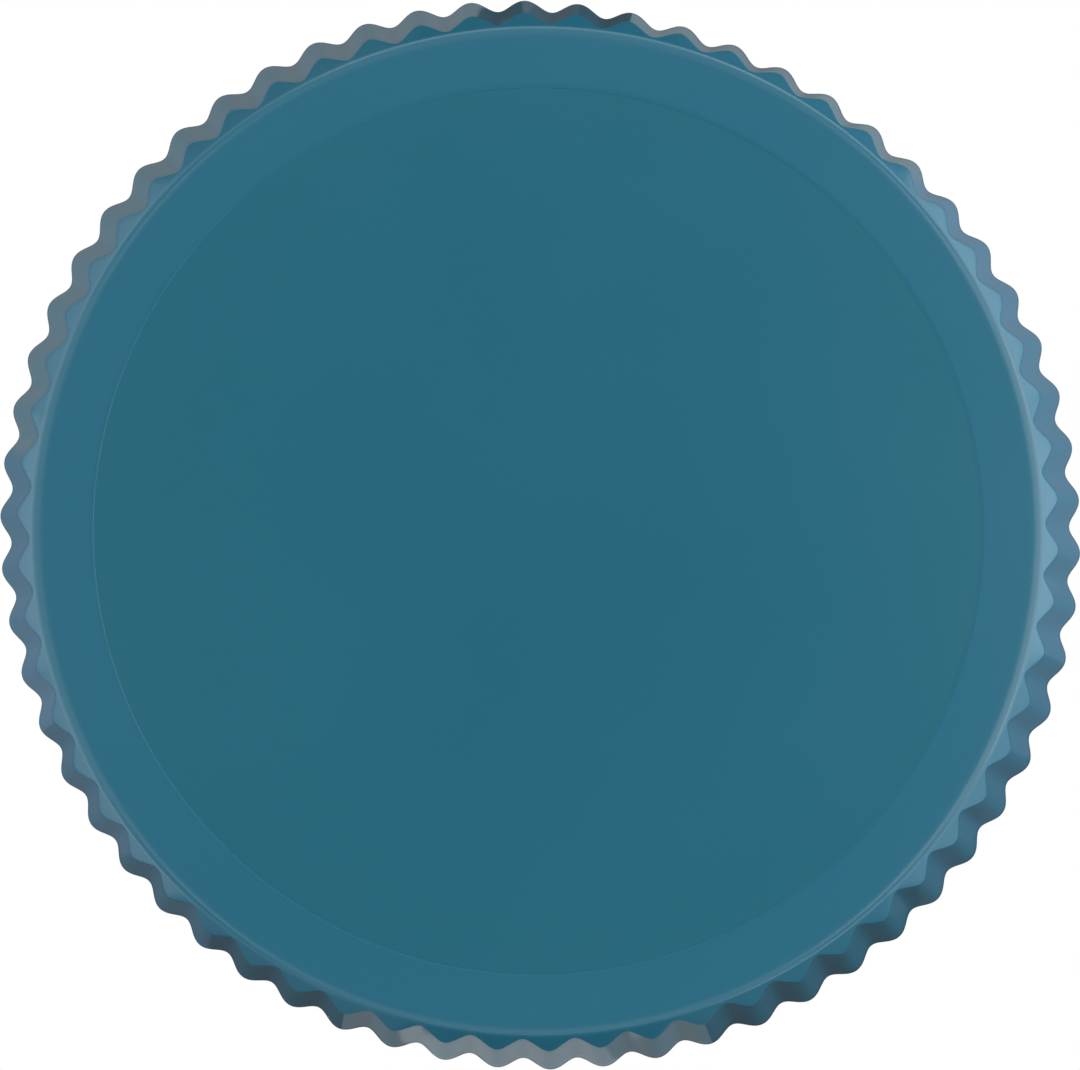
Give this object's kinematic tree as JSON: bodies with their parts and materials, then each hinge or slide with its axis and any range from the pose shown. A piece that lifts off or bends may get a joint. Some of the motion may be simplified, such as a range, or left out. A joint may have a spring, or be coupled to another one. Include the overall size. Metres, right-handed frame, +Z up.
{
  "type": "tart tin",
  "caption": "Round fluted tart tin in enamelled sheet steel: a flared ring with a crimped wall and inward flange, and a loose flat base that lifts out.",
  "frame": {"origin": "centre of the flat underside of the flange, on the surface that the tin stands on", "axes": "+Z up through the open mouth; X and Y across the tin, with the rim's long axis 31 degrees from +X towards +Y"},
  "size_m": [0.3016, 0.2986, 0.03],
  "materials": {
    "ring_coating": "smooth glossy teal coating on thin pressed steel",
    "base_coating": "smooth glossy teal coating on flat steel sheet"
  },
  "bodies": {
    "root": {"fluted_ring": "ring_coating", "loose_base": "base_coating"}
  },
  "joints": []
}
